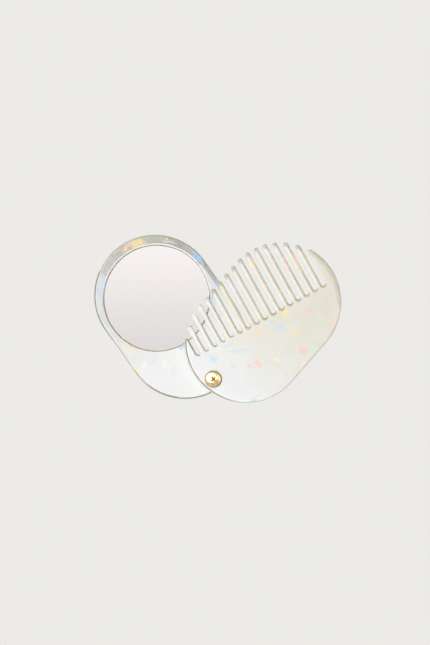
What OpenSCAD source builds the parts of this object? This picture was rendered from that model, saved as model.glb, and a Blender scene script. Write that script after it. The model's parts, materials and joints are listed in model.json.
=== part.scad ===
// Folding pocket comb with a round mirror: two equal oval plates that turn on one binding screw.
// Millimetres. The origin is the centre of the mirror plate's flat back. +Z points out of the
// mirror's face, and +Y runs along the mirror plate, away from the pivot.

/* [Plates] */
// Width of both plates, twice the radius of their round ends
plate_w = 58; // [56:1:70]
// Length of both plates
plate_l = 83; // [78:1:100]
// Thickness of the mirror plate
mirror_plate_t = 4; // [3.8:0.1:6]
// Thickness of the comb plate
comb_plate_t = 3; // [2.6:0.1:4]
// Rounding along the front and back edges of both plates
edge_r = 1.2; // [0.4:0.1:1.2]

/* [Mirror] */
// Diameter of the glass
glass_d = 50; // [40:0.5:50.5]
// Thickness of the glass
glass_t = 1.8; // [1.5:0.1:2]
// Bevel round the edges of the glass
glass_bevel = 0.2; // [0.1:0.05:0.5]
// Distance from the centre of the plate's far round end to the glass's centre
glass_shift = 1.4; // [0:0.1:3]
// Clearance round the glass in its recess
glass_fit = 0.15; // [0.05:0.05:0.3]
// Depth of the glass's face below the plate's face
glass_sink = 0.4; // [0.2:0.05:0.6]
// Rounding of the recess's lip
lip_r = 0.8; // [0.2:0.1:0.8]
// Thickness of the silver and paint on the rear of the glass
silvering_t = 0.05; // [0.03:0.01:0.1]
// Thickness of the adhesive pad
pad_t = 0.25; // [0.1:0.05:0.4]
// Distance from the rim of the glass to the rim of the pad
pad_inset = 2; // [1:0.5:6]

/* [Teeth] */
// Number of slots, counting those beside the end horns
slot_count = 16; // [8:1:16]
// Distance from one slot to the next
tooth_pitch = 4.53; // [3.8:0.01:4.6]
// Width of each slot
slot_w = 2.05; // [1.4:0.05:2.3]
// Angle from the plate's length to the way the teeth point
teeth_lean = 70; // [60:1:90]
// Distance from the far round end's centre to the middle of the row of slots
row_shift = 11.8; // [9:0.1:13]
// Distance from the far round end's centre back to the bottoms of the slots
root_depth = 3.1; // [1.5:0.1:6]
// Rounding of the teeth's edges
tooth_r = 1; // [0.3:0.1:1]
// Least width left flat along the faces of a tooth
tooth_flat_w = 0.4; // [0.2:0.05:0.6]
// Gap between the tips of the teeth and the plate's outline
tip_setback = 0.4; // [0.2:0.1:1]
// Length cut off the sharp point of each horn
horn_cut = 2.2; // [1.4:0.1:4]

/* [Pivot] */
// Distance from the plates' near ends to the pivot
pivot_inset = 5.5; // [5.4:0.1:8]
// Angle between the plates as the comb lies open
open_angle = 76; // [0:1:180]
// Diameter of the post's barrel
barrel_d = 5; // [4.4:0.1:5.4]
// Clearance between the barrel and the bores round it, on the radius
bore_fit = 0.05; // [0.02:0.01:0.1]
// Gap on each face of the comb plate, so that it turns freely
run_gap = 0.05; // [0.02:0.01:0.1]
// Diameter of the washer between the plates
washer_d = 8; // [7:0.1:8.4]
// Thickness of the washer
washer_t = 0.35; // [0.3:0.05:0.8]
// Diameter of the post's rear head
rear_head_d = 7; // [6.4:0.1:7.2]
// Thickness of the post's rear head
rear_head_t = 1.2; // [0.9:0.1:1.4]
// Depth of the rear head below the plate's back
rear_head_sink = 0.1; // [0.05:0.05:0.3]
// Clearance round the rear head
rear_head_fit = 0.15; // [0.1:0.05:0.3]

/* [Screw] */
// Diameter of the screw's head
head_d = 8; // [7:0.1:8.6]
// Height of the screw's head
head_h = 1.2; // [1:0.1:1.6]
// Height of the straight rim below the head's dome
head_rim_h = 0.35; // [0.2:0.05:0.5]
// Span of the cross recess
cross_span = 2.4; // [1.8:0.1:3]
// Width of the cross recess's arms
cross_arm_w = 0.6; // [0.4:0.05:0.8]
// Depth of the cross recess
cross_depth = 0.9; // [0.6:0.05:1]
// Turn of the cross recess
cross_turn = 10; // [0:5:90]
// Diameter of the thread over its crests
thread_d = 3; // [2.5:0.1:3.4]
// Depth of the thread
thread_depth = 0.25; // [0.1:0.05:0.3]
// Distance from one crest to the next
thread_pitch = 0.5; // [0.4:0.05:0.7]
// Clearance between the screw's thread and the post's, on the radius
thread_fit = 0.05; // [0.03:0.01:0.08]
// Length of plain shank between the head and the thread
neck_l = 0.5; // [0.3:0.1:1]
// Thickness of metal left below the post's blind hole
post_floor = 0.7; // [0.5:0.1:1]
// Width of the driver slot in the rear head
driver_slot_w = 0.9; // [0.6:0.1:1.2]
// Depth of the driver slot
driver_slot_depth = 0.5; // [0.3:0.05:0.6]

/* [Hidden] */
$fn = 96;

acetate = [0.94, 0.94, 0.92];
gilt = [0.83, 0.62, 0.27];

// Length by which a cutter stands clear of the face that it opens
over = 1;

end_r = plate_w / 2;
end_y = plate_l / 2 - end_r;
pivot_y = pivot_inset - plate_l / 2;

glass_y = end_y - glass_shift;
glass_z = mirror_plate_t - glass_sink - glass_t;
silvering_z = glass_z - silvering_t;
pad_z = silvering_z - pad_t;
recess_r = glass_d / 2 + glass_fit;

comb_z = mirror_plate_t + washer_t + run_gap;
head_z = comb_z + comb_plate_t + run_gap;
bore_d = barrel_d + 2 * bore_fit;

tooth_w = tooth_pitch - slot_w;
tooth_edge_r = min(tooth_r, (tooth_w - tooth_flat_w) / 2);
first_slot_x = -row_shift - (slot_count - 1) / 2 * tooth_pitch;
last_slot_x = first_slot_x + (slot_count - 1) * tooth_pitch;
slot_end_y = slot_w / 2 - root_depth;

// Centre of the plate's near round end, seen from the far one's along the row and the teeth
axis_lean = 90 - teeth_lean;
near_end = [-2 * end_y * cos(axis_lean), -2 * end_y * sin(axis_lean)];

rear_head_top = rear_head_sink + rear_head_t;
thread_turns = floor((head_z - neck_l - rear_head_sink - post_floor - thread_pitch) / thread_pitch);
thread_top = head_z - neck_l;

// A rectangle centred on the origin, with round corners
module rounded_rect(w, h, r) {
    square([w - 2 * r, h], center = true);
    square([w, h - 2 * r], center = true);
    for (x = [-1, 1], y = [-1, 1])
        translate([x * (w / 2 - r), y * (h / 2 - r)]) circle(r);
}

// An oval plate of thickness t that lies on the XY plane, with its edges rounded
module plate_blank(t) {
    module section() translate([0, t / 2]) rounded_rect(plate_w, t, edge_r);

    translate([0, end_y, 0]) rotate([90, 0, 0]) linear_extrude(2 * end_y) section();
    for (side = [0, 180]) rotate([0, 0, side]) translate([0, end_y, 0])
        rotate_extrude(angle = 180) intersection() {
            section();
            square([plate_w, t]);
        }
}

module mirror_plate() {
    module lip_section() {
        difference() {
            square([recess_r + lip_r, mirror_plate_t + over - pad_z]);
            translate([recess_r, -over])
                square([2 * lip_r, mirror_plate_t - pad_z - lip_r + over]);
            translate([recess_r + lip_r, mirror_plate_t - pad_z - lip_r]) circle(lip_r);
        }
    }

    color(acetate) difference() {
        plate_blank(mirror_plate_t);
        translate([0, glass_y, pad_z]) rotate_extrude() lip_section();
        translate([0, pivot_y, -over]) cylinder(d = bore_d, h = mirror_plate_t + 2 * over);
        translate([0, pivot_y, -over])
            cylinder(d = rear_head_d + 2 * rear_head_fit, h = rear_head_top + over);
    }
}

module mirror_glass() {
    r = glass_d / 2;
    color("white", 0.4) translate([0, glass_y, glass_z]) rotate_extrude() polygon([
        [0, 0], [r - glass_bevel, 0], [r, glass_bevel],
        [r, glass_t - glass_bevel], [r - glass_bevel, glass_t], [0, glass_t]
    ]);
}

module mirror_silvering() {
    color("silver") translate([0, glass_y, silvering_z])
        cylinder(r = glass_d / 2 - glass_bevel, h = silvering_t);
}

module mirror_adhesive() {
    color("gray") translate([0, glass_y, pad_z])
        cylinder(r = glass_d / 2 - pad_inset, h = pad_t);
}

// Section of a tooth, centred on x = 0 and standing on y = 0
module tooth_section() {
    translate([0, comb_plate_t / 2]) rounded_rect(tooth_w, comb_plate_t, tooth_edge_r);
}

// Section of a cutter that opens the plate from x = 0 to the wall at x = reach. It flares to
// both faces, so that the wall is rounded like a tooth's side.
module cutter_section(reach) {
    difference() {
        translate([0, -over]) square([reach + tooth_edge_r, comb_plate_t + 2 * over]);
        translate([reach + tooth_w / 2, 0]) tooth_section();
    }
}

// The cutter of the round bottom of a slot
module slot_bottom() {
    rotate([0, 0, 180]) rotate_extrude(angle = 180) cutter_section(slot_w / 2);
}

// The cutters that shape the right horn: the slot beside it, and the cut across its point, at
// the distance point_y from the slot's bottom
module horn_cutters(point_y) {
    rotate([90, 0, 180]) mirror([1, 0, 0]) linear_extrude(plate_w) cutter_section(slot_w / 2);
    mirror([1, 0, 0]) translate([0, point_y + plate_w, 0]) rotate([90, 0, -90])
        linear_extrude(end_r) cutter_section(plate_w);
}

// Height above the far round end's centre, at x along the row, of the plate's outline drawn
// in to radius r: on the far end, along the straight side, or on the near end
function outline_y(x, r) =
    let (side_x = -r * sin(axis_lean))
    x > side_x ? sqrt(r ^ 2 - x ^ 2)
    : x > near_end.x + side_x ? r * cos(axis_lean) + (x - side_x) * tan(axis_lean)
    : near_end.y + sqrt(r ^ 2 - (x - near_end.x) ^ 2);

// Distance from a slot's round bottom to the blunt end of the horn whose inner wall lies at x
function horn_y(x) = outline_y(x, end_r) - horn_cut - slot_end_y;

// One tooth from the slots' round bottoms to its round tip
module tooth(x) {
    tip_y = outline_y(x, end_r - tooth_w / 2 - tip_setback);

    translate([x, tip_y, 0]) {
        rotate([90, 0, 0]) linear_extrude(tip_y - slot_end_y) tooth_section();
        rotate_extrude(angle = 180) intersection() {
            tooth_section();
            square([tooth_w, comb_plate_t]);
        }
    }
}

// Places its children along the teeth: x along the row of slots, y to the tips
module along_teeth() {
    translate([0, end_y, 0]) rotate([0, 0, teeth_lean]) children();
}

module comb_plate() {
    color(acetate)
    translate([0, pivot_y, comb_z]) rotate([0, 0, -open_angle]) translate([0, -pivot_y, 0]) {
        difference() {
            plate_blank(comb_plate_t);
            along_teeth() {
                translate([first_slot_x, slot_end_y, -over])
                    cube([last_slot_x - first_slot_x, plate_w, comb_plate_t + 2 * over]);
                for (i = [0 : slot_count - 1])
                    translate([first_slot_x + i * tooth_pitch, slot_end_y, 0]) slot_bottom();
                translate([last_slot_x, slot_end_y, 0])
                    horn_cutters(horn_y(last_slot_x + slot_w / 2));
                translate([first_slot_x, slot_end_y, 0]) mirror([1, 0, 0])
                    horn_cutters(horn_y(first_slot_x - slot_w / 2));
            }
            translate([0, pivot_y, -over]) cylinder(d = bore_d, h = comb_plate_t + 2 * over);
        }
        along_teeth() for (i = [0 : slot_count - 2])
            tooth(first_slot_x + (i + 0.5) * tooth_pitch);
    }
}

module spacer_washer() {
    color("white") translate([0, pivot_y, mirror_plate_t]) difference() {
        cylinder(d = washer_d, h = washer_t);
        translate([0, 0, -over]) cylinder(d = bore_d, h = washer_t + 2 * over);
    }
}

// Outline of the threaded length, from its lowest ring up, with crests at radius r
function thread_outline(r) = [
    for (i = [0 : thread_turns - 1]) each [
        [r - thread_depth, thread_top - (thread_turns - i) * thread_pitch],
        [r, thread_top - (thread_turns - i - 0.5) * thread_pitch]
    ],
    [r - thread_depth, thread_top]
];

module pivot_screw() {
    shank_r = thread_d / 2;
    thread_bottom = thread_top - thread_turns * thread_pitch;
    dome_h = head_h - head_rim_h;
    dome_r = (head_d ^ 2 / 4 + dome_h ^ 2) / (2 * dome_h);

    module head() {
        rotate_extrude() intersection() {
            translate([0, head_z + head_h - dome_r]) circle(dome_r, $fn = 360);
            translate([0, head_z]) square([head_d / 2, head_h]);
        }
    }

    // The arms narrow to half their span at the bottom
    module cross_recess() {
        taper = cross_span / 4 / cross_depth;

        translate([0, 0, head_z + head_h - cross_depth]) rotate([0, 0, cross_turn])
            intersection() {
                cylinder(r1 = cross_span / 4, r2 = cross_span / 2 + taper * over,
                    h = cross_depth + over);
                linear_extrude(cross_depth + over) {
                    square([2 * cross_span, cross_arm_w], center = true);
                    square([cross_arm_w, 2 * cross_span], center = true);
                }
            }
    }

    color(gilt) translate([0, pivot_y, 0]) difference() {
        union() {
            head();
            rotate_extrude() polygon([
                [0, thread_bottom], each thread_outline(shank_r),
                [shank_r - thread_depth, head_z], [0, head_z]
            ]);
        }
        cross_recess();
    }
}

module pivot_post() {
    bore_r = thread_d / 2 + thread_fit;
    hole_bottom = rear_head_sink + post_floor;

    color(gilt) translate([0, pivot_y, 0]) difference() {
        union() {
            translate([0, 0, rear_head_sink]) cylinder(d = rear_head_d, h = rear_head_t);
            translate([0, 0, rear_head_sink]) cylinder(d = barrel_d, h = head_z - rear_head_sink);
        }
        rotate_extrude() polygon([
            [0, hole_bottom], [bore_r - thread_depth, hole_bottom], each thread_outline(bore_r),
            [bore_r - thread_depth, head_z + over], [0, head_z + over]
        ]);
        translate([-rear_head_d, -driver_slot_w / 2, -over])
            cube([2 * rear_head_d, driver_slot_w, over + rear_head_sink + driver_slot_depth]);
    }
}

mirror_plate();
mirror_glass();
mirror_silvering();
mirror_adhesive();
comb_plate();
spacer_washer();
pivot_screw();
pivot_post();
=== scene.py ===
import bpy
import bmesh
import json
import math
from mathutils import Matrix, Vector


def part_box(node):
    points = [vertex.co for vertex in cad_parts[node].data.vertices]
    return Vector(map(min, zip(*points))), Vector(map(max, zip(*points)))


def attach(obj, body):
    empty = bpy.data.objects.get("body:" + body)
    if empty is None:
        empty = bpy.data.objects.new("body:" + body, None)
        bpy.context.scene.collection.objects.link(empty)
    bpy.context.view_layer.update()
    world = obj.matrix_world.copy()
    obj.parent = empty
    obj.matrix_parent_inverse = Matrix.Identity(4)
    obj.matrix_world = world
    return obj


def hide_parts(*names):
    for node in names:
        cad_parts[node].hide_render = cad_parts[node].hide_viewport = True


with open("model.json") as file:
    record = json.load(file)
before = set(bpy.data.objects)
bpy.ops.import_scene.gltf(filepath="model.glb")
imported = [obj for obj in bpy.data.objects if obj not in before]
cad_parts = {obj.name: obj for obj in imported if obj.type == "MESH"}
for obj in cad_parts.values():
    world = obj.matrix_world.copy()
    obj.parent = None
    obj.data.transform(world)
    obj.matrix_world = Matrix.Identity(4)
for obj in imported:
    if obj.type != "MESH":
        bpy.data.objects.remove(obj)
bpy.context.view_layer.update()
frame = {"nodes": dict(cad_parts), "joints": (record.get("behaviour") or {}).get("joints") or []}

# The camera looks straight down on the open comb, as the photograph does. The picture's upward
# direction lies 55 degrees round from the frame's +X. A long lens keeps the view flat.
picture_turn = math.radians(55)
picture_up = Vector((math.cos(picture_turn), math.sin(picture_turn), 0))
picture_right = Vector((math.sin(picture_turn), -math.cos(picture_turn), 0))
view_centre = Vector((0.01605, -0.01439, 0.005))
picture_height = 0.3066
lens_mm = 300
sensor_mm = 36
view_reach = 20

camera_data = bpy.data.cameras.new("camera")
camera_data.lens = lens_mm
camera_data.sensor_width = sensor_mm
camera_data.clip_end = view_reach
camera = bpy.data.objects.new("camera", camera_data)
camera.location = view_centre + Vector((0, 0, picture_height * lens_mm / sensor_mm))
camera.rotation_euler = (0, 0, picture_turn - math.pi / 2)
bpy.context.scene.collection.objects.link(camera)
bpy.context.scene.camera = camera
bpy.context.scene.view_settings.view_transform = "Standard"

# The floor is a wide pale sheet, a hair's breadth below the mirror plate's back. The camera, metal
# and glass see most of its colour as it is, so the comb's shadow on it stays faint.


def paint(red, green, blue):
    """A colour as a picture shows it, from 0 to 255, turned into the shader's linear light."""
    linear = []
    for part in (red / 255, green / 255, blue / 255):
        linear.append(part / 12.92 if part <= 0.04045 else ((part + 0.055) / 1.055) ** 2.4)
    return (*linear, 1)


def shade(tree, kind, sockets, **settings):
    """One shader node with its settings. Each socket takes a plain value or a wire."""
    made = tree.nodes.new("ShaderNode" + kind)
    for name, value in settings.items():
        setattr(made, name, value)
    for name, value in sockets.items():
        if isinstance(value, bpy.types.NodeSocket):
            tree.links.new(value, made.inputs[name])
        else:
            made.inputs[name].default_value = value
    return made


def work(tree, operation, *terms):
    """A sum on numbers."""
    return shade(tree, "Math", dict(enumerate(terms)), operation=operation).outputs["Value"]


def finish_shape(name, shape):
    """Turns a finished bmesh into an object in the scene."""
    mesh = bpy.data.meshes.new(name)
    shape.to_mesh(mesh)
    shape.free()
    piece = bpy.data.objects.new(name, mesh)
    bpy.context.scene.collection.objects.link(piece)
    return piece


floor_colour = paint(236, 235, 231)
floor_size = 12
floor_drop = 0.00005
floor_lit_share = 0.04

floor_shape = bmesh.new()
bmesh.ops.create_grid(floor_shape, x_segments=1, y_segments=1, size=floor_size / 2)
bmesh.ops.translate(floor_shape, verts=floor_shape.verts, vec=(0, 0, -floor_drop))
floor = finish_shape("floor", floor_shape)

floor_paint = bpy.data.materials.new("floor_paint")
floor_paint.use_nodes = True
tree = floor_paint.node_tree
tree.nodes.clear()
ray = shade(tree, "LightPath", {})
seen = work(tree, "MAXIMUM", ray.outputs["Is Camera Ray"], ray.outputs["Is Glossy Ray"])
seen = work(tree, "MAXIMUM", seen, ray.outputs["Is Transmission Ray"])
lit = shade(tree, "BsdfDiffuse", {"Color": floor_colour}).outputs["BSDF"]
plain = shade(tree, "Emission", {"Color": floor_colour, "Strength": 1}).outputs["Emission"]
share = work(tree, "MULTIPLY", seen, 1 - floor_lit_share)
surface = shade(tree, "MixShader", {0: share, 1: lit, 2: plain}).outputs["Shader"]
shade(tree, "OutputMaterial", {"Surface": surface})
floor.data.materials.append(floor_paint)


# The sky is a pale dome, even overhead. Lower down it is bright toward the foot of the picture and
# dim toward its top. The camera sees the floor's colour in its place.


def work_vector(tree, operation, *terms):
    """A sum on vectors. A dot product or a length comes out as a number."""
    made = shade(tree, "VectorMath", dict(enumerate(terms)), operation=operation)
    number = operation in ("DOT_PRODUCT", "LENGTH", "DISTANCE")
    return made.outputs["Value" if number else "Vector"]


def fade(tree, value, start, end, low=0, high=1):
    """Goes smoothly from low to high while the value goes from start to end."""
    made = shade(tree, "MapRange", {
        "Value": value, "From Min": start, "From Max": end, "To Min": low, "To Max": high,
    }, interpolation_type="SMOOTHSTEP")
    return made.outputs["Result"]


def lay_over(tree, share, under, over, blend="MIX"):
    """One colour laid over another by a share from 0 to 1."""
    made = shade(tree, "Mix", {0: share, 6: under, 7: over}, data_type="RGBA", blend_type=blend)
    return made.outputs[2]


light_turn = picture_turn + math.radians(155)
light_side = Vector((math.cos(light_turn), math.sin(light_turn), 0))
sky_dim = (0.11, 0.105, 0.095, 1)
sky_bright = (0.80, 0.79, 0.77, 1)
sky_overhead = (0.66, 0.66, 0.66, 1)
dim_to_bright = (-0.6, 0.9)
side_to_overhead = (0.55, 0.80)

world = bpy.data.worlds.new("studio")
world.use_nodes = True
bpy.context.scene.world = world
tree = world.node_tree
tree.nodes.clear()
look = shade(tree, "TexCoord", {}).outputs["Generated"]
toward_light = work_vector(tree, "DOT_PRODUCT", look, light_side)
sky = lay_over(tree, fade(tree, toward_light, *dim_to_bright), sky_dim, sky_bright)
height = shade(tree, "SeparateXYZ", {"Vector": look}).outputs["Z"]
sky = lay_over(tree, fade(tree, height, *side_to_overhead), sky, sky_overhead)
ray = shade(tree, "LightPath", {})
sky = lay_over(tree, ray.outputs["Is Camera Ray"], sky, floor_colour)
sky = shade(tree, "Background", {"Color": sky, "Strength": 1}).outputs["Background"]
shade(tree, "OutputWorld", {"Surface": sky})


# One large oval softbox hangs overhead, off to the left of the picture. It has a round opening that
# the camera looks through. The glass and the flat faces reflect the softer light of that opening,
# which grows toward the top of the picture.
softbox_width = 1.10
softbox_length = 1.00
softbox_left = 0.26
softbox_up = 0.12
softbox_height = 0.95
softbox_glow = 2.3
flat = (1, 1, 0)
opening_radius = 0.12
opening_rim = 0.03
opening_foot = -0.035
opening_top = 0.065
opening_dim = 0.065
opening_bright = 0.30
softbox_area = math.pi / 4 * softbox_width * softbox_length
softbox_place = view_centre + Vector((0, 0, softbox_height))
softbox_place += softbox_up * picture_up - softbox_left * picture_right

softbox_data = bpy.data.lights.new("softbox", "AREA")
softbox_data.shape = "ELLIPSE"
softbox_data.size = softbox_width
softbox_data.size_y = softbox_length
softbox_data.energy = math.pi * softbox_area
softbox_data.use_nodes = True
tree = softbox_data.node_tree
tree.nodes.clear()
place = shade(tree, "NewGeometry", {}).outputs["Position"]
place = work_vector(tree, "SUBTRACT", place, view_centre)
upward = work_vector(tree, "DOT_PRODUCT", place, picture_up)
across = work_vector(tree, "LENGTH", work_vector(tree, "MULTIPLY", place, flat))
opening = fade(tree, upward, opening_foot, opening_top, opening_dim, opening_bright)
edge = fade(tree, across, opening_radius, opening_radius + opening_rim)
glow = shade(tree, "Mix", {0: edge, 2: opening, 3: softbox_glow}).outputs[0]
light = shade(tree, "Emission", {"Color": (1, 1, 1, 1), "Strength": glow}).outputs["Emission"]
shade(tree, "OutputLight", {"Surface": light})
softbox = bpy.data.objects.new("softbox", softbox_data)
softbox.location = softbox_place
softbox.rotation_euler = (0, 0, picture_turn - math.pi / 2)
softbox.visible_camera = False
bpy.context.scene.collection.objects.link(softbox)

# A smaller round card on the right of the picture gives the polished screw its second reflection
# and lifts the shaded side of the teeth.
card_size = 0.62
card_right = 0.55
card_up = 0.10
card_height = 0.75
card_glow = 0.55
card_area = math.pi * (card_size / 2) ** 2
card_place = view_centre + Vector((0, 0, card_height))
card_place += card_right * picture_right + card_up * picture_up

card_data = bpy.data.lights.new("card", "AREA")
card_data.shape = "DISK"
card_data.size = card_size
card_data.energy = math.pi * card_area * card_glow
card = bpy.data.objects.new("card", card_data)
card.location = card_place
card.rotation_euler = (card_place - view_centre).to_track_quat("Z", "Y").to_euler()
card.visible_camera = False
bpy.context.scene.collection.objects.link(card)


# Both plates are cut from pearl acetate sheet, polished and tumbled. Angular flakes of pearl film
# lie in the sheet at every depth, in pastel colours that gather in drifts. The groups below make
# a layer of small flakes, one large flake, the whole sheet, and the painted shade and light of a
# round edge.
pivot = Vector(frame["joints"][0]["pos_m"])


def shader_group(name, inputs, outputs):
    """A new shader group. Its sockets are named here, each with its kind."""
    group = bpy.data.node_groups.new(name, "ShaderNodeTree")
    for sockets, way in ((inputs, "INPUT"), (outputs, "OUTPUT")):
        for socket, kind in sockets.items():
            group.interface.new_socket(socket, in_out=way, socket_type="NodeSocket" + kind)
    return group, group.nodes.new("NodeGroupInput").outputs


def give_out(group, **results):
    """Wires a group's results to its output sockets."""
    end = group.nodes.new("NodeGroupOutput")
    for name, wire in results.items():
        group.links.new(wire, end.inputs[name.replace("_", " ")])


def use_group(tree, group, sockets):
    """Places a group in a material and fills its sockets."""
    return shade(tree, "Group", sockets, node_tree=group)


noise_middle = (0.5, 0.5, 0.5)
ragged_scale = 0.7
small_ragged = (1.4, 1.4, 0)
large_ragged = (3.2, 3.2, 0)
rim_line = 0.01
deep_flake = 0.2
flake_slant = 0.3
outside_to_middle = (1.25, 0.5)
fibre_stretch = (1.6, 0.5, 1)
fibre_steps = (0.3, 0.6)
fibre_thin = 0.45

flake_layer, given = shader_group("flake_layer", {
    "Position": "Vector", "Turn": "Float", "Flake Size": "Vector", "Share": "Float",
    "Softness": "Float", "Seed": "Float",
}, {"Mask": "Float", "Pick": "Float"})
tree = flake_layer
turned = shade(tree, "VectorRotate", {"Vector": given["Position"], "Angle": given["Turn"]},
               rotation_type="Z_AXIS").outputs["Vector"]
ragged = shade(tree, "TexNoise", {"Vector": turned, "Scale": ragged_scale, "Detail": 3})
ragged = work_vector(tree, "MULTIPLY_ADD", ragged.outputs["Color"], small_ragged, turned)
cells = work_vector(tree, "DIVIDE", ragged, given["Flake Size"])
cells = work_vector(tree, "ADD", cells, given["Seed"])
flake = shade(tree, "TexVoronoi", {"Vector": cells, "Scale": 1})
rim = shade(tree, "TexVoronoi", {"Vector": cells, "Scale": 1}, feature="DISTANCE_TO_EDGE")
luck = shade(tree, "SeparateColor", {"Color": flake.outputs["Color"]})
chosen = work(tree, "LESS_THAN", luck.outputs["Red"], given["Share"])
inside = fade(tree, rim.outputs["Distance"], rim_line, given["Softness"])
depth = fade(tree, luck.outputs["Blue"], 0, 1, deep_flake, 1)
mask = work(tree, "MULTIPLY", work(tree, "MULTIPLY", chosen, inside), depth)
give_out(flake_layer, Mask=mask, Pick=luck.outputs["Green"])

large_flake, given = shader_group("large_flake", {
    "Position": "Vector", "Place": "Vector", "Turn": "Float", "Half Size": "Vector",
}, {"Mask": "Float"})
tree = large_flake
ragged = shade(tree, "TexNoise", {
    "Vector": given["Position"], "Scale": ragged_scale, "Detail": 5,
})
ragged = work_vector(tree, "SUBTRACT", ragged.outputs["Color"], noise_middle)
ragged = work_vector(tree, "MULTIPLY_ADD", ragged, large_ragged, given["Position"])
from_middle = work_vector(tree, "SUBTRACT", ragged, given["Place"])
turned = shade(tree, "VectorRotate", {
    "Vector": from_middle, "Angle": work(tree, "MULTIPLY", given["Turn"], -1),
}, rotation_type="Z_AXIS").outputs["Vector"]
shares = shade(tree, "SeparateXYZ", {
    "Vector": work_vector(tree, "DIVIDE", turned, given["Half Size"]),
}).outputs
slanted = work(tree, "MULTIPLY_ADD", shares["Y"], flake_slant, shares["X"])
slanted = work(tree, "ABSOLUTE", slanted)
reach = work(tree, "MAXIMUM", slanted, work(tree, "ABSOLUTE", shares["Y"]))
fibres = work_vector(tree, "MULTIPLY", given["Position"], fibre_stretch)
fibres = shade(tree, "TexNoise", {"Vector": fibres, "Scale": 1, "Detail": 3}).outputs["Fac"]
mask = work(tree, "MULTIPLY", fade(tree, reach, *outside_to_middle),
            fade(tree, fibres, *fibre_steps, fibre_thin, 1))
give_out(large_flake, Mask=mask)

cloud_white = paint(250, 248, 245)
satin_white = paint(255, 255, 255)
pale_blue = paint(208, 232, 255)
mint = paint(212, 246, 224)
pale_gold = paint(255, 236, 188)
peach = paint(255, 220, 198)
pink = paint(255, 212, 214)
lavender = paint(238, 218, 252)
drift_colours = [pale_blue, mint, pale_gold, peach, pink, lavender]
drift_spread = 0.45
seed_step = 7.3
cloud_scale = 0.09
cloud_steps = (0.35, 0.65)
cloud_share = 0.14
satin_stretch = (1.1, 0.16, 0.5)
satin_steps = (0.4, 0.7)
satin_share = 0.10
scuff_stretch = (0.5, 6, 2)
scuff_steps = (0.3, 0.8)
polish_clean = 0.10
polish_scuffed = 0.22
flake_dullness = 0.05
layers = [
    # turn, flake size in millimetres, share of the cells, softness of the rim, opacity
    (0.9, (14.0, 8.0, 4.0), 0.45, 0.60, 0.12),
    (0.4, (6.0, 3.0, 2.0), 0.20, 0.42, 0.24),
    (1.9, (3.6, 1.8, 1.0), 0.12, 0.30, 0.34),
    (2.8, (8.0, 1.2, 1.2), 0.09, 0.28, 0.28),
    (1.2, (1.8, 1.2, 0.8), 0.07, 0.24, 0.45),
]

pearl_sheet, given = shader_group("pearl_sheet", {
    "Position": "Vector", "Base": "Color", "Drift": "Float", "Flake Strength": "Float",
    "Seed": "Float",
}, {"Color": "Color", "Roughness": "Float", "Height": "Float"})
tree = pearl_sheet
seeded = work_vector(tree, "ADD", given["Position"], given["Seed"])
cloud = shade(tree, "TexNoise", {"Vector": seeded, "Scale": cloud_scale, "Detail": 4})
cloud = fade(tree, cloud.outputs["Fac"], *cloud_steps, 0, cloud_share)
colour = lay_over(tree, cloud, given["Base"], cloud_white)
satin = work_vector(tree, "MULTIPLY", seeded, satin_stretch)
satin = shade(tree, "TexNoise", {"Vector": satin, "Scale": 1, "Detail": 5}).outputs["Fac"]
colour = lay_over(tree, fade(tree, satin, *satin_steps, 0, satin_share), colour, satin_white)
speckle = 0
for number, (turn, flake_size, flake_share, softness, opacity) in enumerate(layers):
    layer = use_group(tree, flake_layer, {
        "Position": given["Position"], "Turn": turn, "Flake Size": flake_size,
        "Share": flake_share, "Softness": softness,
        "Seed": work(tree, "ADD", given["Seed"], seed_step * number),
    })
    pick = work(tree, "MULTIPLY_ADD", layer.outputs["Pick"], drift_spread, given["Drift"])
    ramp = shade(tree, "ValToRGB", {"Fac": work(tree, "FRACT", pick)})
    ramp.color_ramp.interpolation = "CONSTANT"
    stops = ramp.color_ramp.elements
    stops[0].color = drift_colours[0]
    stops[1].position = 1 / len(drift_colours)
    stops[1].color = drift_colours[1]
    for step in range(2, len(drift_colours)):
        stops.new(step / len(drift_colours)).color = drift_colours[step]
    share = work(tree, "MULTIPLY", layer.outputs["Mask"], opacity)
    share = work(tree, "MULTIPLY", share, given["Flake Strength"])
    colour = lay_over(tree, share, colour, ramp.outputs["Color"])
    speckle = work(tree, "MAXIMUM", speckle, share)
scuffs = work_vector(tree, "MULTIPLY", seeded, scuff_stretch)
scuffs = shade(tree, "TexNoise", {"Vector": scuffs, "Scale": 1, "Detail": 6}).outputs["Fac"]
roughness = fade(tree, scuffs, *scuff_steps, polish_clean, polish_scuffed)
roughness = work(tree, "MULTIPLY_ADD", speckle, flake_dullness, roughness)
give_out(pearl_sheet, Color=colour, Roughness=roughness, Height=scuffs)

# The light and shade of a round edge are painted into its colour: a darker brown line on the
# rounding, olive shade on the side turned from the light, and lighter steep walls.
wall_light_white = paint(255, 254, 250)
shade_olive = paint(198, 190, 164)
edge_shade_brown = paint(156, 148, 131)
line_core = 0.3
away_steps = (0.08, 0.35)
rim_steps = (1, 0.9)
wall_steps = (0.66, 0.95)
wall_share = 0.85

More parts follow.
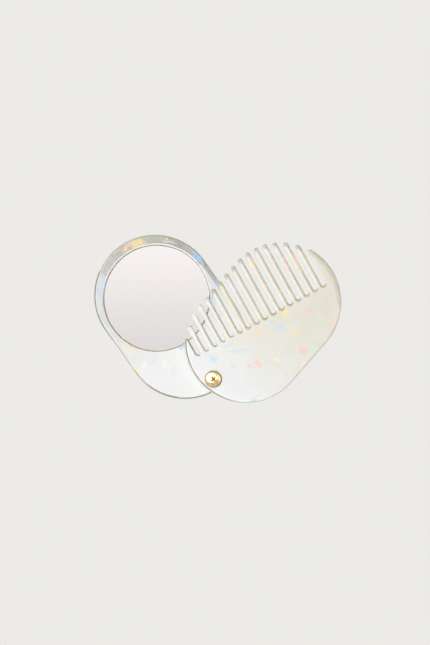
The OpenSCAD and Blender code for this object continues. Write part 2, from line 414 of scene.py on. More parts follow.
round_edge, given = shader_group("round_edge", {
    "Color": "Color", "Line": "Float", "Line Place": "Float", "Line Half": "Float",
    "Shade Way": "Vector", "Shade": "Float",
}, {"Color": "Color"})
tree = round_edge
surface_normal = shade(tree, "TexCoord", {}).outputs["Normal"]
outward = work_vector(tree, "LENGTH", work_vector(tree, "MULTIPLY", surface_normal, flat))
from_line = work(tree, "ABSOLUTE", work(tree, "SUBTRACT", outward, given["Line Place"]))
from_line = work(tree, "DIVIDE", from_line, given["Line Half"])
line = work(tree, "MULTIPLY", fade(tree, from_line, 1, line_core), given["Line"])
away_shade = work_vector(tree, "DOT_PRODUCT", surface_normal, given["Shade Way"])
away_shade = work(tree, "MULTIPLY", fade(tree, away_shade, *away_steps), given["Shade"])
away_shade = work(tree, "MULTIPLY", away_shade, fade(tree, outward, *rim_steps))
painted_wall_light = fade(tree, outward, *wall_steps, 0, wall_share)
colour = lay_over(tree, away_shade, lay_over(tree, painted_wall_light, given["Color"], wall_light_white), shade_olive)
give_out(round_edge, Color=lay_over(tree, line, colour, edge_shade_brown))


def new_material(name):
    """An empty material and its node tree."""
    material = bpy.data.materials.new(name)
    material.use_nodes = True
    material.node_tree.nodes.clear()
    return material, material.node_tree


def on_plate(tree, turn):
    """A place on a plate in millimetres from the pivot, with the plate's length along Y."""
    place = shade(tree, "TexCoord", {}).outputs["Object"]
    return shade(tree, "Mapping", {
        "Vector": place, "Location": (pivot.x, pivot.y, 0), "Rotation": (0, 0, turn),
        "Scale": (0.001, 0.001, 0.001),
    }, vector_type="TEXTURE").outputs["Vector"]


def lay_large_flakes(tree, place, colour, flakes):
    """Lays the largest flakes over a sheet's colour."""
    for (x, y), turn, length, width, tint, opacity in flakes:
        flake = use_group(tree, large_flake, {
            "Position": place, "Place": (x, y, 0), "Turn": math.radians(turn),
            "Half Size": (length / 2, width / 2, 1),
        })
        share = work(tree, "MULTIPLY", flake.outputs["Mask"], opacity)
        colour = lay_over(tree, share, colour, tint)
    return colour


acetate_clearness = 0.90
acetate_depth = 0.0006


def polish_acetate(tree, colour, sheet):
    """Acetate under its polish: glossy, and its shadow is weak because light passes through it."""
    bump = shade(tree, "Bump", {
        "Height": sheet.outputs["Height"], "Strength": 0.06, "Distance": 0.00002,
    }).outputs["Normal"]
    ray = shade(tree, "LightPath", {})
    weak_shadow = work(tree, "MULTIPLY_ADD", ray.outputs["Is Shadow Ray"], -acetate_clearness, 1)
    shader = shade(tree, "BsdfPrincipled", {
        "Base Color": colour, "Roughness": sheet.outputs["Roughness"], "Normal": bump,
        "Alpha": weak_shadow,
        "IOR": 1.48, "Subsurface Weight": 1, "Subsurface Scale": acetate_depth,
        "Subsurface Radius": (1, 0.95, 0.85), "Coat Weight": 0.35, "Coat Roughness": 0.03,
    }).outputs["BSDF"]
    shade(tree, "OutputMaterial", {"Surface": shader})


# The mirror plate is the lower one: 4 mm sheet with a round recess turned in it for the glass.
# Round its far end the sheet is greyer, and its largest flakes show more strongly. The recess's
# lip has a painted highlight on its upper side, and its walls have painted shade.
cool_white = paint(241, 241, 242)
ring_white = paint(218, 222, 222)
lip_white = paint(255, 255, 254)
end_grey = paint(188, 188, 174)
end_dark = paint(168, 169, 164)
end_pale = paint(204, 199, 193)
streak_pale = paint(206, 203, 196)
recess_shade_brown = paint(176, 164, 146)
recess_shade_pale = paint(216, 207, 192)
warm_gold = paint(255, 226, 170)
bright_blue = paint(168, 208, 255)
green = paint(172, 224, 190)
glass_low, glass_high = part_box("mirror_glass")
glass_centre = ((glass_low + glass_high) / 2 - pivot) * 1000
lip_radius = 25.15
lip_edge = 25.8
wall_thin = 0.06
wall_wide = 0.42
back_skin = 0.3
side_middle = 32
far_end = (0, 48.5, 0)
grey_turn = math.radians(60)
grey_way = (math.cos(grey_turn), math.sin(grey_turn), 0)
grey_steps = (0.40, 0.50)
# each pair is where a change starts and where it is complete, in millimetres on the plate
grey_outward = (12, 24)
side_across = (26.4, 27.2)
side_along = (28, 36)
pale_across = (8, -14)
dark_across = (17, 24)
grey_along = (14, 50)
line_along = (8, 20)
rise_along = (35, 50)
lip_soft = (-0.1, 0.25)
lip_lit = (-2, 12)
wall_soft = (0.10, -0.04)
wall_lit = (4, -12)
# how strongly the edge's line, the ripples, the streaks and the flakes show
line_shares = (0.55, 0.95)
line_places = (0.46, 0.64)
line_half = 0.42
wall_shade = 0.3
ripple_reach = (9, 9, 0)
streak_close = 2.2
streak_long = 3
streak_steps = (0.4, 0.65)
streak_share = 0.35
drift_steps = (0.3, 0.7)
drift_ends = (-0.4, 0.6)
white_flakes = 0.3
grey_zone_flakes = 0.22
mirror_seed = 11
mirror_flakes = [
    # place and size in millimetres from the pivot, turn in degrees, colour, opacity
    ((7.2, 73.8), -12, 7.4, 3.4, warm_gold, 0.95),
    ((1.6, 74.8), 25, 3.8, 1.7, paint(255, 222, 190), 0.90),
    ((4.1, 72.1), -8, 6.5, 1.3, paint(255, 240, 196), 0.85),
    ((15.1, 70.4), -25, 1.4, 1.1, green, 0.70),
    ((13.5, 72.4), -25, 1.5, 1.0, green, 0.60),
    ((20.1, 67.6), -30, 1.6, 1.3, warm_gold, 0.95),
    ((20.2, 65.4), -47, 6.5, 0.6, lip_white, 0.60),
    ((27.1, 51.6), -78, 5.0, 3.0, bright_blue, 0.95),
    ((27.6, 48.6), -80, 2.8, 2.2, paint(200, 202, 244), 0.80),
    ((27.9, 35.9), -88, 4.0, 2.0, bright_blue, 0.90),
    ((21.9, 31.4), -95, 5.5, 2.0, pale_blue, 0.85),
    ((-14.0, 72.0), 30, 3.4, 2.6, paint(222, 196, 190), 0.70),
    ((-12.0, 70.6), 30, 1.8, 1.2, lavender, 0.70),
    ((-17.4, 67.5), 45, 3.8, 2.2, pale_blue, 0.80),
    ((-21.4, 66.6), 60, 2.6, 1.6, bright_blue, 0.60),
    ((-23.2, 35.9), -70, 3.6, 1.4, paint(255, 214, 138), 0.95),
    ((-25.6, 34.6), -60, 6.0, 4.2, paint(255, 244, 222), 0.55),
    ((-25.0, 22.8), -15, 5.5, 3.2, paint(255, 244, 220), 0.55),
    ((-28.2, 23.6), -87, 5.0, 1.3, paint(255, 226, 150), 0.90),
    ((-23.1, 24.5), 50, 3.0, 2.4, lip_white, 0.80),
    ((-14.9, 19.3), 55, 3.6, 2.2, paint(255, 253, 240), 0.80),
    ((-17.9, 23.4), 60, 3.0, 2.6, pale_blue, 0.35),
    ((-13.0, 14.2), 40, 5.0, 3.0, pale_blue, 0.30),
    ((-3.2, 21.4), -5, 4.6, 1.8, bright_blue, 0.70),
]

material, tree = new_material("mirror_plate_acetate")
place = on_plate(tree, 0)
from_end = work_vector(tree, "SUBTRACT", place, far_end)
ripple = shade(tree, "TexNoise", {"Vector": place, "Scale": 0.25, "Detail": 4}).outputs["Color"]
ripple = work_vector(tree, "SUBTRACT", ripple, noise_middle)
heading = work_vector(tree, "MULTIPLY_ADD", ripple, ripple_reach, from_end)
heading = work_vector(tree, "NORMALIZE", work_vector(tree, "MULTIPLY", heading, flat))
heading = work_vector(tree, "DOT_PRODUCT", heading, grey_way)
parts = shade(tree, "SeparateXYZ", {"Vector": place}).outputs
# Round the far end, and along the side near it, the sheet is greyer and streaked.
side_band = work(tree, "MULTIPLY", fade(tree, parts["X"], *side_across),
                 fade(tree, parts["Y"], *side_along))
grey_zone = work(tree, "MAXIMUM", fade(tree, heading, *grey_steps), side_band)
flat_place = work_vector(tree, "MULTIPLY", place, flat)
recess_centre = (glass_centre.x, glass_centre.y, 0)
from_glass = work_vector(tree, "DISTANCE", flat_place, recess_centre)
on_back = fade(tree, parts["Z"], 2 * back_skin, back_skin)
past_lip = fade(tree, from_glass, lip_edge + lip_soft[0], lip_edge + lip_soft[1])
past_lip = work(tree, "MAXIMUM", past_lip, on_back)
grey_zone = work(tree, "MULTIPLY", grey_zone, past_lip)
grey_zone = work(tree, "MULTIPLY", grey_zone, fade(tree, from_glass, *grey_outward))
ring_parts = shade(tree, "SeparateXYZ", {"Vector": from_end}).outputs
ring_turn = work(tree, "ARCTAN2", ring_parts["Y"], ring_parts["X"])
ring_radius = work_vector(tree, "LENGTH", work_vector(tree, "MULTIPLY", from_end, flat))
streaks = shade(tree, "CombineXYZ", {
    "X": work(tree, "MULTIPLY", ring_radius, streak_close),
    "Y": work(tree, "MULTIPLY", ring_turn, streak_long),
}).outputs["Vector"]
streaks = shade(tree, "TexNoise", {"Vector": streaks, "Scale": 1, "Detail": 3}).outputs["Fac"]
streaks = fade(tree, streaks, *streak_steps, 0, streak_share)
ring_grey = lay_over(tree, fade(tree, parts["X"], *pale_across), end_grey, end_pale)
ring_grey = lay_over(tree, fade(tree, parts["X"], *dark_across), ring_grey, end_dark)
ring_grey = lay_over(tree, streaks, ring_grey, streak_pale)
base = lay_over(tree, fade(tree, parts["Y"], *grey_along), cool_white, ring_white)
base = lay_over(tree, grey_zone, base, ring_grey)
# Painted highlight: the lip turns white on its upper side, which faces the light.
up_side = work_vector(tree, "SUBTRACT", flat_place, recess_centre)
up_side = work_vector(tree, "DOT_PRODUCT", up_side, picture_up)
lip_highlight = fade(tree, up_side, *lip_lit)
lip_highlight = work(tree, "MULTIPLY", lip_highlight, work(tree, "SUBTRACT", 1, past_lip))
base = lay_over(tree, lip_highlight, base, lip_white)
drift = shade(tree, "TexNoise", {"Vector": place, "Scale": 0.04, "Detail": 1}).outputs["Fac"]
sheet = use_group(tree, pearl_sheet, {
    "Position": place, "Base": base, "Drift": fade(tree, drift, *drift_steps, *drift_ends),
    "Flake Strength": fade(tree, grey_zone, 0, 1, white_flakes, grey_zone_flakes),
    "Seed": mirror_seed,
})
colour = lay_large_flakes(tree, place, sheet.outputs["Color"], mirror_flakes)
# Painted shade at the plate's round edge: a darker line, left out round the grey far end and inside
# the lip, and faint olive shade on the side turned from the light.
from_middle = work(tree, "ABSOLUTE", work(tree, "SUBTRACT", parts["Y"], side_middle))
line = work(tree, "MULTIPLY", past_lip, fade(tree, from_middle, *line_along, *line_shares))
line = work(tree, "MULTIPLY", line, fade(tree, grey_zone, 1, 0))
colour = use_group(tree, round_edge, {
    "Color": colour, "Shade Way": -light_side,
    "Shade": work(tree, "MULTIPLY", past_lip, wall_shade), "Line": line,
    "Line Place": fade(tree, parts["Y"], *rise_along, *line_places), "Line Half": line_half,
}).outputs["Color"]
# Painted shade on the recess walls: brown on the upper side, paler and wider on the lower side.
down_side = fade(tree, up_side, *wall_lit)
wall_reach = work(tree, "MULTIPLY_ADD", down_side, wall_wide, lip_radius + wall_thin)
recess_shade = fade(tree, work(tree, "SUBTRACT", from_glass, wall_reach), *wall_soft)
recess_shade = work(tree, "MULTIPLY", recess_shade, work(tree, "SUBTRACT", 1, on_back))
colour = lay_over(tree, recess_shade, colour, lay_over(tree, down_side, recess_shade_brown, recess_shade_pale))
polish_acetate(tree, colour, sheet)
frame["nodes"]["mirror_plate"].material_slots[0].material = material

# The comb plate is the upper one: 3 mm sheet with sixteen slots sawn through it, so that fifteen
# teeth and two horns stand between them, all tumbled round. Its colour goes from cool white to
# beige along its length, and olive shade is painted on its edges where they turn from the light.
open_angle = math.radians(76)
teeth_lean = math.radians(70)
teeth_way = (-math.sin(teeth_lean), math.cos(teeth_lean), 0)
row_way = (math.cos(teeth_lean), math.sin(teeth_lean), 0)
first_slot = -45.775
last_slot = 22.175
tooth_pitch = 4.53
slot_half = 1.025
slot_floor = -3.1
tooth_tip = 28.5
hook_centre = (-0.35, -0.5, 0)
glass_beside_row = (-50.5, 30.3, 0)
glass_reach = 23
glass_soft = 3
comb_length = 77
comb_foot = -25
# each pair is where a change starts and where it is complete, in millimetres on the plate
hooks_along = (-28, -20)
shaded_along = (-24, -15)
tips_along = (-34, -26)
horn_along = (52, 66)
horn_across = (25.8, 28.0)
right_across = (6, 20)
drift_along = (10, 55)
hook_soft = (2.0, 1.4)
hook_top = (0.2, -0.5)
tip_soft = (-2.8, -1.4)
horn_soft = (0.8, 1.4)
floor_soft = (-0.4, 0.8)
spine_soft = (-5, -3)
cut_soft = 0.6
# the same across one tooth, as shares of the pitch
olive_across = (0.43, 0.57)
pale_side_across = (0.54, 0.42)
# how strongly the olive, the edge's line and the flakes show
tooth_shares = (0.15, 0.9)
tooth_shades = (0.8, 0.1)
tip_share = 0.9
horn_share = 0.75
right_fainter = -0.45
spine_line = 0.56
right_outward = 0.40
horn_line = 0.42
tooth_half = 0.36
horn_wider = 0.2
drift_wander = (-0.38, 0.02)
drift_climb = (0.05, 0.55)
plain_flakes = 0.75
tooth_flakes = 1.4
comb_seed = 3
tooth_shade_olive = paint(204, 199, 179)
tooth_light_pale = paint(236, 237, 231)
tooth_gold = paint(255, 228, 160)
slot_end_shade_olive = paint(204, 196, 168)
tip_shade_olive = paint(192, 188, 168)
horn_shade_olive = paint(200, 192, 168)
comb_flakes = [
    # place and size in millimetres from the pivot, turn in degrees, colour, opacity
    ((4.8, 46.3), 60, 4.4, 3.8, pale_gold, 0.85),
    ((0.9, 30.7), -24, 6.4, 1.6, paint(255, 232, 196), 0.90),
    ((0.2, 18.3), 55, 9.5, 1.8, pale_blue, 0.55),
    ((-5.8, 16.2), 60, 6.5, 1.4, pale_blue, 0.55),
    ((-6.3, 7.1), 15, 4.4, 3.0, pale_blue, 0.80),
    ((3.0, 11.0), 15, 2.2, 1.6, pale_blue, 0.85),
    ((11.0, 19.3), -10, 4.4, 2.6, peach, 0.75),
    ((9.1, 16.2), 50, 3.6, 2.0, pink, 0.55),
    ((17.0, 26.8), 31, 4.4, 2.0, paint(246, 244, 216), 0.80),
    ((23.2, 38.0), 0, 5.0, 4.2, pink, 0.75),
    ((25.8, 42.4), 20, 2.4, 2.2, mint, 0.85),
    ((3.2, 38.4), 20, 3.4, 1.3, pale_blue, 0.80),
    ((8.5, 39.6), 30, 3.8, 2.6, pale_blue, 0.90),
    ((14.9, 41.3), -40, 2.8, 1.4, paint(255, 238, 176), 0.90),
    ((19.9, 54.6), 30, 3.6, 2.4, mint, 0.55),
    ((12.6, 53.2), 30, 2.8, 2.2, pink, 0.75),
    ((14.6, 63.9), 70, 6.0, 0.9, pink, 0.95),
    ((26.6, 58.2), 115, 5.0, 2.4, peach, 0.80),
    ((20.8, 3.9), 70, 4.6, 1.8, paint(196, 232, 255), 0.95),
    ((-10.3, 64.0), 160, 6.5, 2.0, pink, 0.95),
    ((-7.9, 68.1), 160, 6.5, 2.0, peach, 0.95),
    ((-22.0, 53.9), 160, 2.8, 1.8, tooth_gold, 0.95),
    ((-10.2, 49.7), 160, 1.8, 1.6, tooth_gold, 0.95),
    ((-3.3, 52.4), 160, 1.8, 1.6, tooth_gold, 0.95),
    ((-3.0, 66.2), 160, 1.9, 1.7, tooth_gold, 0.95),
    ((-17.0, 33.3), 160, 3.4, 1.8, tooth_gold, 0.90),
    ((-20.6, 39.0), 160, 3.6, 1.6, lavender, 0.95),
    ((-24.7, 11.7), 160, 2.8, 2.2, peach, 0.90),
    ((-19.2, 9.8), 160, 6.0, 1.6, lavender, 0.75),
]

material, tree = new_material("comb_plate_acetate")
place = on_plate(tree, -open_angle)
parts = shade(tree, "SeparateXYZ", {"Vector": place}).outputs
warmth = shade(tree, "ValToRGB", {"Fac": fade(tree, parts["Y"], comb_foot, comb_length)})
stops = warmth.color_ramp.elements
stops[0].color = paint(244, 246, 248)
stops[1].color = paint(227, 224, 213)
stops.new(0.15).color = paint(242, 243, 244)
stops.new(0.25).color = paint(239, 240, 238)
stops.new(0.45).color = paint(235, 234, 227)
stops.new(0.70).color = paint(231, 229, 218)
from_end = work_vector(tree, "SUBTRACT", place, far_end)
among_teeth = work_vector(tree, "DOT_PRODUCT", from_end, teeth_way)
along_row = work_vector(tree, "DOT_PRODUCT", from_end, row_way)
row_start = first_slot - slot_half
row_end = last_slot + slot_half
before_row = fade(tree, along_row, row_start, row_start - cut_soft)
past_row = fade(tree, along_row, row_end, row_end + cut_soft)
along_teeth = work(tree, "SUBTRACT", 1, work(tree, "MAXIMUM", before_row, past_row))
above_floor = fade(tree, among_teeth, slot_floor + floor_soft[0], slot_floor + floor_soft[1])
in_row = work(tree, "MULTIPLY", above_floor, along_teeth)
# Painted shade and light on each tooth: olive on the side turned from the light, paler on the lit
# side, faint over the mirror plate and strong beyond it.
over_floor = fade(tree, along_row, *shaded_along, *tooth_shares)
over_floor = work(tree, "MULTIPLY", over_floor, in_row)
slots_passed = work(tree, "DIVIDE", work(tree, "SUBTRACT", along_row, first_slot), tooth_pitch)
across_tooth = work(tree, "FRACT", slots_passed)
tooth_shade_side = work(tree, "MULTIPLY", fade(tree, across_tooth, *olive_across), over_floor)
base = lay_over(tree, tooth_shade_side, warmth.outputs["Color"], tooth_shade_olive)
tooth_light_side = work(tree, "MULTIPLY", fade(tree, across_tooth, *pale_side_across), over_floor)
base = lay_over(tree, tooth_light_side, base, tooth_light_pale)
past_centre = work(tree, "MAXIMUM", work(tree, "SUBTRACT", parts["Y"], far_end[1]), 0)
from_spine = shade(tree, "CombineXYZ", {"X": parts["X"], "Y": past_centre}).outputs["Vector"]
from_spine = work_vector(tree, "LENGTH", from_spine)
# Painted olive shade on the teeth's tips, fading out toward the first teeth.
tip_shade = fade(tree, from_spine, tooth_tip + tip_soft[0], tooth_tip + tip_soft[1])
tip_shade = work(tree, "MULTIPLY", tip_shade, in_row)
tip_shade = work(tree, "MULTIPLY", tip_shade, fade(tree, along_row, *tips_along, 0, tip_share))
base = lay_over(tree, tip_shade, base, tip_shade_olive)
toward_end = fade(tree, parts["Y"], *horn_along)
# Painted olive shade along the outer edge of the horn at the far end.
horn_shade = fade(tree, from_spine, *horn_across, 0, horn_share)
horn_shade = work(tree, "MULTIPLY", horn_shade, past_row)
horn_shade = work(tree, "MULTIPLY", horn_shade, toward_end)
base = lay_over(tree, horn_shade, base, horn_shade_olive)
drift = shade(tree, "TexNoise", {"Vector": place, "Scale": 0.05, "Detail": 1}).outputs["Fac"]
drift = fade(tree, drift, *drift_steps, *drift_wander)
drift = work(tree, "ADD", drift, fade(tree, parts["Y"], *drift_along, *drift_climb))
sheet = use_group(tree, pearl_sheet, {
    "Position": place, "Base": base, "Drift": drift,
    "Flake Strength": fade(tree, in_row, 0, 1, plain_flakes, tooth_flakes), "Seed": comb_seed,
})
colour = lay_large_flakes(tree, place, sheet.outputs["Color"], comb_flakes)
# Painted olive shade round the closed end of each slot, fading out toward the first teeth.
across_slot = work(tree, "FRACT", work(tree, "ADD", slots_passed, 0.5))
across_slot = work(tree, "MULTIPLY", work(tree, "SUBTRACT", across_slot, 0.5), tooth_pitch)
up_slot = work(tree, "SUBTRACT", among_teeth, slot_floor + slot_half)
from_slot_end = shade(tree, "CombineXYZ", {"X": across_slot, "Y": up_slot}).outputs["Vector"]
from_slot_end = work_vector(tree, "DISTANCE", from_slot_end, hook_centre)
slot_end_shade = work(tree, "MULTIPLY", fade(tree, from_slot_end, *hook_soft),
            fade(tree, up_slot, *hook_top))
slot_end_shade = work(tree, "MULTIPLY", slot_end_shade, along_teeth)
slot_end_shade = work(tree, "MULTIPLY", slot_end_shade, fade(tree, along_row, *hooks_along))
colour = lay_over(tree, slot_end_shade, colour, slot_end_shade_olive)
# Painted shade at the plate's round edge: a darker line beside the teeth and along the spine,
# fainter on the right and at the far end, and olive shade on the teeth's sides turned from the
# light, strongest over the mirror plate and left off where the teeth lie over the glass.
past_horn = fade(tree, along_row, row_end + horn_soft[0], row_end + horn_soft[1])
beside_teeth = work(tree, "MAXIMUM", before_row, past_horn)
line = work(tree, "MAXIMUM", beside_teeth, fade(tree, among_teeth, *spine_soft, 1, 0))
right_side = fade(tree, parts["X"], *right_across)
line = work(tree, "MULTIPLY", line, work(tree, "MULTIPLY_ADD", right_side, right_fainter, 1))
line = work(tree, "MULTIPLY", line, work(tree, "MULTIPLY_ADD", toward_end, -1, 1))
line_place = work(tree, "MULTIPLY_ADD", right_side, right_outward, spine_line)
line_place = shade(tree, "Mix", {0: toward_end, 2: line_place, 3: horn_line}).outputs[0]
tooth_shade = fade(tree, along_row, *shaded_along, *tooth_shades)
row_place = shade(tree, "CombineXYZ", {"X": along_row, "Y": among_teeth}).outputs["Vector"]
from_glass = work_vector(tree, "DISTANCE", row_place, glass_beside_row)
off_glass = fade(tree, from_glass, glass_reach, glass_reach + glass_soft)
tooth_shade = work(tree, "MULTIPLY", tooth_shade, off_glass)
colour = use_group(tree, round_edge, {
    "Color": colour, "Shade Way": -light_side, "Shade": tooth_shade,
    "Line": line, "Line Place": line_place,
    "Line Half": work(tree, "MULTIPLY_ADD", toward_end, horn_wider, tooth_half),
}).outputs["Color"]
polish_acetate(tree, colour, sheet)
frame["nodes"]["comb_plate"].material_slots[0].material = material

# The mirror is a disc of float glass, 1.8 mm thick, silvered on its rear. Its edges are ground, so
# they are dull and brownish, and its face has faint wipe marks.
ground_brown = paint(150, 140, 124)
ground_steps = (0.98, 0.85)
ground_roughness = 0.5
wipe_steps = (0.5, 0.9)
wipe_roughness = 0.03

material, tree = new_material("mirror_glass")
place = shade(tree, "TexCoord", {}).outputs["Object"]
wipe = shade(tree, "TexNoise", {"Vector": place, "Scale": 90, "Detail": 5}).outputs["Fac"]
surface_normal = shade(tree, "TexCoord", {}).outputs["Normal"]
lean = shade(tree, "SeparateXYZ", {"Vector": surface_normal}).outputs["Z"]
ground = fade(tree, work(tree, "ABSOLUTE", lean), *ground_steps)
roughness = work(tree, "MAXIMUM", fade(tree, wipe, *wipe_steps, 0, wipe_roughness),
                 work(tree, "MULTIPLY", ground, ground_roughness))
shader = shade(tree, "BsdfPrincipled", {
    "Base Color": lay_over(tree, ground, (1, 1, 1, 1), ground_brown),
    "Roughness": roughness, "IOR": 1.5, "Transmission Weight": 1,
}).outputs["BSDF"]
shade(tree, "OutputMaterial", {"Surface": shader})
frame["nodes"]["mirror_glass"].material_slots[0].material = material

# A round of pale double-sided foam tape holds the glass in its recess. It only shows when the glass
# is lifted out, and the cut side of its foam is porous.
foam_grey = paint(214, 214, 210)
foam_white = paint(232, 232, 228)
foam_steps = (0.2, 0.7)
foam_roughness = (0.75, 0.95)

material, tree = new_material("foam_tape")
place = shade(tree, "TexCoord", {}).outputs["Object"]
pores = shade(tree, "TexVoronoi", {"Vector": place, "Scale": 4000}).outputs["Distance"]
foam = lay_over(tree, fade(tree, pores, *foam_steps), foam_grey, foam_white)
bump = shade(tree, "Bump", {"Height": pores, "Strength": 0.4, "Distance": 0.0001})
shader = shade(tree, "BsdfPrincipled", {
    "Base Color": foam, "Roughness": fade(tree, pores, 0, 1, *foam_roughness),
    "Normal": bump.outputs["Normal"],
}).outputs["BSDF"]
shade(tree, "OutputMaterial", {"Surface": shader})
frame["nodes"]["mirror_adhesive"].material_slots[0].material = material

# The silver is a film laid on the rear of the glass, under its backing paint. It touches the glass
# all over, so it reaches a hair's breadth into it here, and it gives the reflection its faint
# warmth.
silver_low, silver_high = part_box("mirror_silvering")
silver_contact = 0.00001
silver_steps = 180
silver_rosy = (0.985, 0.942, 0.934, 1)
silver_pale = (0.995, 0.950, 0.942, 1)
silver_radius = (silver_high.x - silver_low.x) / 2
silver_centre = (silver_low + silver_high) / 2 + Vector((0, 0, silver_contact / 2))
silver_shape = bmesh.new()
bmesh.ops.create_cone(silver_shape, cap_ends=True, segments=silver_steps,
                      radius1=silver_radius, radius2=silver_radius,
                      depth=silver_high.z - silver_low.z + silver_contact,
                      matrix=Matrix.Translation(silver_centre))
silver_film = finish_shape("silver_film", silver_shape)

material, tree = new_material("silver_film")
place = shade(tree, "TexCoord", {}).outputs["Object"]
mottle = shade(tree, "TexNoise", {"Vector": place, "Scale": 60, "Detail": 3}).outputs["Fac"]
silver = lay_over(tree, mottle, silver_rosy, silver_pale)
shader = shade(tree, "BsdfPrincipled", {
    "Base Color": silver, "Metallic": 1, "Roughness": 0.02,
}).outputs["BSDF"]
shade(tree, "OutputMaterial", {"Surface": shader})
silver_film.data.materials.append(material)
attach(silver_film, "mirror")
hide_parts("mirror_silvering")

# The washer is stamped from thin milky nylon. It lies round the post, between the two plates, so
# that they turn without rubbing. Only its rim shows, from low down at the side.
nylon_grey = paint(226, 225, 218)
nylon_white = paint(240, 239, 233)
nylon_roughness = (0.4, 0.6)

material, tree = new_material("washer_nylon")
place = shade(tree, "TexCoord", {}).outputs["Object"]
grain = shade(tree, "TexNoise", {"Vector": place, "Scale": 2500, "Detail": 3}).outputs["Fac"]
nylon = lay_over(tree, grain, nylon_grey, nylon_white)
bump = shade(tree, "Bump", {"Height": grain, "Strength": 0.2, "Distance": 0.00003})
shader = shade(tree, "BsdfPrincipled", {
    "Base Color": nylon, "Roughness": fade(tree, grain, 0, 1, *nylon_roughness),
    "Normal": bump.outputs["Normal"], "Subsurface Weight": 0.3, "Subsurface Scale": 0.0008,
}).outputs["BSDF"]
shade(tree, "OutputMaterial", {"Surface": shader})
frame["nodes"]["spacer_washer"].material_slots[0].material = material

# The binding screw is turned from brass, gilded and polished: a low dome with a small cross
# recess, coloured darker inside, and painted shade at its rim. It screws into the post, which
# passes through both plates.
screw_low, screw_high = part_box("pivot_screw")
run_gap = 0.00005
head_radius = (screw_high.x - screw_low.x) / 2
head_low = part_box("comb_plate")[1].z + run_gap
head_height = 0.0012
head_rim = 0.00035
head_bevel = 0.00010
cross_span = 0.0026
cross_arm = 0.00092
cross_depth = 0.0009
cross_turn = math.radians(10)
cross_foot = (0.82, 0.8, 1)
cross_sink = 0.48
cross_bevel = 0.00004
crest_radius = 0.0015
thread_depth = 0.00025
thread_pitch = 0.0005
neck_length = 0.0005
arc_steps = 20
turn_steps = 128
sharp_corner = math.radians(30)
smooth_limit = math.radians(35)

dome_rise = head_height - head_rim
dome_radius = (head_radius ** 2 + dome_rise ** 2) / (2 * dome_rise)
dome_centre = head_low + head_height - dome_radius
thread_top = head_low - neck_length
thread_turns = round((thread_top - screw_low.z) / thread_pitch)

profile = [(0, screw_low.z)]
for turn in range(thread_turns):
    ring = screw_low.z + turn * thread_pitch
    profile.append((crest_radius - thread_depth, ring))
    profile.append((crest_radius, ring + thread_pitch / 2))
profile.append((crest_radius - thread_depth, thread_top))
profile.append((crest_radius - thread_depth, head_low))
profile.append((head_radius, head_low))
rim_angle = math.asin(head_radius / dome_radius)
for step in range(arc_steps + 1):
    angle = rim_angle * (1 - step / arc_steps)
    profile.append((dome_radius * math.sin(angle), dome_centre + dome_radius * math.cos(angle)))

screw_shape = bmesh.new()
corners = [screw_shape.verts.new((radius, 0, z)) for radius, z in profile]
sides = [screw_shape.edges.new(pair) for pair in zip(corners, corners[1:])]
bmesh.ops.spin(screw_shape, geom=corners + sides, cent=(0, 0, 0), axis=(0, 0, 1),
               angle=math.tau, steps=turn_steps, use_merge=True)
bmesh.ops.remove_doubles(screw_shape, verts=screw_shape.verts, dist=1e-6)
bmesh.ops.recalc_face_normals(screw_shape, faces=screw_shape.faces)
head_corners = [
    edge for edge in screw_shape.edges
    if min(vert.co.xy.length for vert in edge.verts) > head_radius * 0.99
    and edge.calc_face_angle() > sharp_corner
]
bmesh.ops.bevel(screw_shape, geom=head_corners, offset=head_bevel, segments=4, profile=0.5,
                affect="EDGES", material=-1)
bmesh.ops.translate(screw_shape, verts=screw_shape.verts, vec=(pivot.x, pivot.y, 0))
screw = finish_shape("pivot_screw_gilt", screw_shape)

for quarter in (0, math.pi / 2):
    arm_shape = bmesh.new()
    bmesh.ops.create_cube(arm_shape, size=1)
    bmesh.ops.scale(arm_shape, verts=arm_shape.verts, vec=(cross_span, cross_arm, cross_depth))
    foot = [vert for vert in arm_shape.verts if vert.co.z < 0]
    bmesh.ops.scale(arm_shape, verts=foot, vec=cross_foot)
    bmesh.ops.rotate(arm_shape, verts=arm_shape.verts, cent=(0, 0, 0),
                     matrix=Matrix.Rotation(cross_turn + quarter, 3, "Z"))
    bmesh.ops.translate(arm_shape, verts=arm_shape.verts,
                        vec=(pivot.x, pivot.y, head_low + head_height - cross_sink * cross_depth))
    arm = finish_shape("cross_arm", arm_shape)
    cut = screw.modifiers.new("cross_arm", "BOOLEAN")
    cut.object = arm
    cut.solver = "EXACT"
    evaluated = screw.evaluated_get(bpy.context.evaluated_depsgraph_get())
    screw.data = bpy.data.meshes.new_from_object(evaluated)
    screw.modifiers.clear()
    bpy.data.objects.remove(arm)

screw_shape = bmesh.new()
screw_shape.from_mesh(screw.data)
recess_mouth = [
    edge for edge in screw_shape.edges
    if edge.is_manifold and edge.calc_face_angle() > sharp_corner
    and min(vert.co.z for vert in edge.verts) > head_low + head_rim
    and max((vert.co.xy - pivot.xy).length for vert in edge.verts) < cross_span
]
bmesh.ops.bevel(screw_shape, geom=recess_mouth, offset=cross_bevel, segments=2, profile=0.5,
                affect="EDGES", material=-1)
for face in screw_shape.faces:
    face.smooth = True
for edge in screw_shape.edges:
    edge.smooth = not edge.is_manifold or edge.calc_face_angle() < smooth_limit
screw_shape.to_mesh(screw.data)
screw_shape.free()

bright_gilt = (0.98, 0.77, 0.41, 1)
dark_gilt = (0.26, 0.115, 0.022, 1)
gilt_middle = (-0.22, 0.15, 0)
rim_dark = (-0.45, -0.1)
rim_share = 0.85
recess_dark = (-0.04, -0.15)
blotch_steps = (0.45, 0.68)
blotch_share = 0.5
ring_count = 14
hairline_stretch = (2, 30, 8)
hairline_steps = (0.35, 0.75)
gilt_smooth = 0.05
gilt_scratched = 0.12
wear_roughness = 0.25

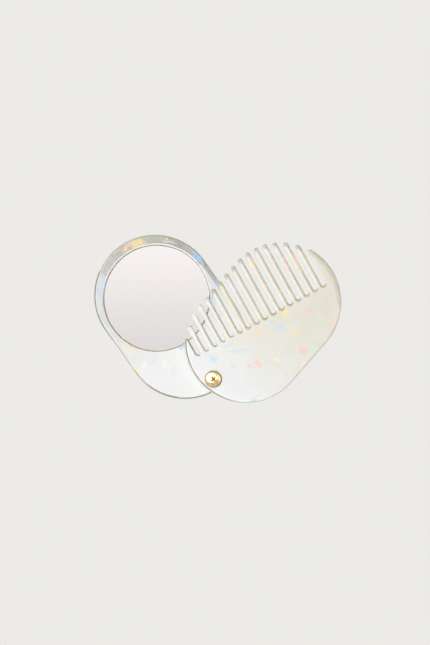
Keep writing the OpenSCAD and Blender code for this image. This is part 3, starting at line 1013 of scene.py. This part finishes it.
gilt, given = shader_group("gilt", {
    "Position": "Vector", "Turning": "Float", "Darkening": "Float",
}, {"Color": "Color", "Roughness": "Float", "Height": "Float"})
tree = gilt
blotch = shade(tree, "TexNoise", {"Vector": given["Position"], "Scale": 0.9, "Detail": 4})
blotch = fade(tree, blotch.outputs["Fac"], *blotch_steps)
# The darkening brings the darker recess and the painted rim shade; the blotches are the gilding's
# own.
blotches_and_darkening = work(tree, "MAXIMUM", given["Darkening"], work(tree, "MULTIPLY", blotch, blotch_share))
colour = lay_over(tree, blotches_and_darkening, bright_gilt, dark_gilt)
flat_place = work_vector(tree, "MULTIPLY", given["Position"], flat)
from_axis = work_vector(tree, "LENGTH", flat_place)
rings = shade(tree, "CombineXYZ", {"X": work(tree, "MULTIPLY", from_axis, ring_count)})
rings = shade(tree, "TexNoise", {"Vector": rings.outputs["Vector"], "Scale": 1, "Detail": 2})
rings = work(tree, "MULTIPLY", rings.outputs["Fac"], given["Turning"])
hairlines = work_vector(tree, "MULTIPLY", given["Position"], hairline_stretch)
hairlines = shade(tree, "TexNoise", {"Vector": hairlines, "Scale": 1, "Detail": 4}).outputs["Fac"]
roughness = fade(tree, hairlines, *hairline_steps, gilt_smooth, gilt_scratched)
roughness = work(tree, "MULTIPLY_ADD", blotches_and_darkening, wear_roughness, roughness)
give_out(gilt, Color=colour, Roughness=roughness, Height=work(tree, "ADD", rings, hairlines))


def gilded(name, turning, rim, crown_centre, crown_radius):
    """Gilt brass with painted shade at its rim, darker wherever it lies below the ball of its
    crown.
    """
    material, tree = new_material(name)
    place = on_plate(tree, 0)
    flat_place = work_vector(tree, "MULTIPLY", place, flat)
    from_axis = work_vector(tree, "DISTANCE", flat_place, gilt_middle)
    from_crown = work_vector(tree, "DISTANCE", place, (0, 0, crown_centre))
    in_recess = fade(tree, from_crown, *(crown_radius + step for step in recess_dark))
    # Painted shade at the rim, standing in for the dark reflection round a polished rim.
    painted_rim_shade = fade(tree, from_axis, *(rim + step for step in rim_dark), 0, rim_share)
    darkening = work(tree, "MAXIMUM", in_recess, painted_rim_shade)
    finish = use_group(tree, gilt, {
        "Position": place, "Turning": turning, "Darkening": darkening,
    })
    bump = shade(tree, "Bump", {
        "Height": finish.outputs["Height"], "Strength": 0.08, "Distance": 0.00002,
    })
    shader = shade(tree, "BsdfPrincipled", {
        "Base Color": finish.outputs["Color"], "Metallic": 1,
        "Roughness": finish.outputs["Roughness"], "Normal": bump.outputs["Normal"],
    }).outputs["BSDF"]
    shade(tree, "OutputMaterial", {"Surface": shader})
    return material


screw_gilt = gilded("screw_gilt", 0.3, head_radius * 1000, dome_centre * 1000, dome_radius * 1000)
screw.data.materials.clear()
screw.data.materials.append(screw_gilt)
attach(screw, "mirror")
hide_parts("pivot_screw")

# The post is the screw's barrel nut, turned from the same gilt brass. Its flat head is sunk just
# inside the mirror plate's back, with a driver slot across it and the fine rings of the lathe.
post_low, post_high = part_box("pivot_post")
post_radius = (post_high.x - post_low.x) / 2
flat_crown = 200
post_gilt = gilded("post_gilt", 1.0, post_radius * 1000, post_low.z * 1000 + flat_crown, flat_crown)
frame["nodes"]["pivot_post"].material_slots[0].material = post_gilt
